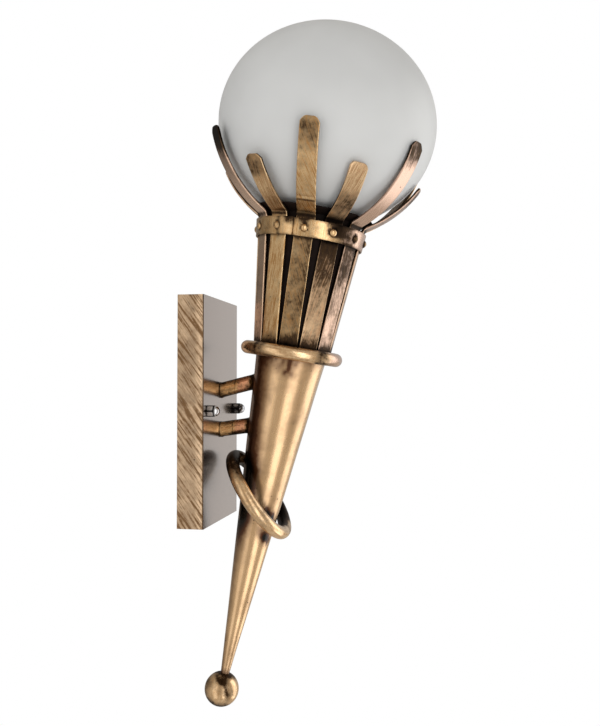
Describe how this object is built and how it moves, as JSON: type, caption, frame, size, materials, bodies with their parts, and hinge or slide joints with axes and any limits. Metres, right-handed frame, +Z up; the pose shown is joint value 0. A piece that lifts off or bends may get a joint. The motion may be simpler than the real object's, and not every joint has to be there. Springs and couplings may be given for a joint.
{
  "type": "torch wall sconce",
  "caption": "Torch-shaped wall light: opal globe in a cage of riveted metal straps on a tapering shaft with rings and a ball, held off a tall wall plate by two short arms.",
  "frame": {"origin": "middle of the wall side of the wall plate", "axes": "+X away from the wall, +Z up, Y along the wall"},
  "size_m": [0.2242, 0.2098, 0.6255],
  "materials": {
    "antique_brass": "hand-brushed and patinated",
    "bronze_plate": "dark brushed bronze, lacquered",
    "dark_liner": "blackened",
    "opal_glass": "satin opal",
    "bulb_glass": "frosted",
    "nickel": "nickel plated",
    "zinc_steel": "zinc plated",
    "plain_brass": "turned",
    "porcelain": "glazed",
    "connector_plastic": "moulded",
    "seat_rubber": "matt"
  },
  "bodies": {
    "sconce": {"wall_bracket": "zinc_steel", "plate_studs": "zinc_steel", "stud_locknuts": "zinc_steel", "terminal_block": "connector_plastic", "earth_screw": "plain_brass", "wall_plate": "bronze_plate", "cap_nuts": "nickel", "upper_arm": "antique_brass", "lower_arm": "antique_brass", "shaft": "antique_brass", "finial_stud": "zinc_steel", "ball_finial": "antique_brass", "neck_ring": "antique_brass", "slanted_ring": "antique_brass", "strap_01": "antique_brass", "strap_02": "antique_brass", "strap_03": "antique_brass", "strap_04": "antique_brass", "strap_05": "antique_brass", "strap_06": "antique_brass", "strap_07": "antique_brass", "strap_08": "antique_brass", "strap_09": "antique_brass", "strap_10": "antique_brass", "strap_11": "antique_brass", "strap_12": "antique_brass", "liner": "dark_liner", "band": "antique_brass", "band_rivets": "antique_brass", "gallery_cup": "dark_liner", "globe_seat": "seat_rubber", "holder_nipple": "plain_brass", "nipple_nut": "plain_brass", "lampholder": "porcelain", "screw_shell": "plain_brass", "centre_contact": "plain_brass"},
    "globe": {"globe": "opal_glass"},
    "bulb": {"bulb_cap": "nickel", "bulb_glass": "bulb_glass"}
  },
  "joints": [
    {"name": "globe_lift", "type": "slide", "parent": "sconce", "child": "globe", "axis": [0.1582, 0, 0.9874], "range_m": [0, 0.13]},
    {"name": "bulb_out", "type": "slide", "parent": "sconce", "child": "bulb", "axis": [0.1582, 0, 0.9874], "range_m": [0, 0.03]}
  ]
}
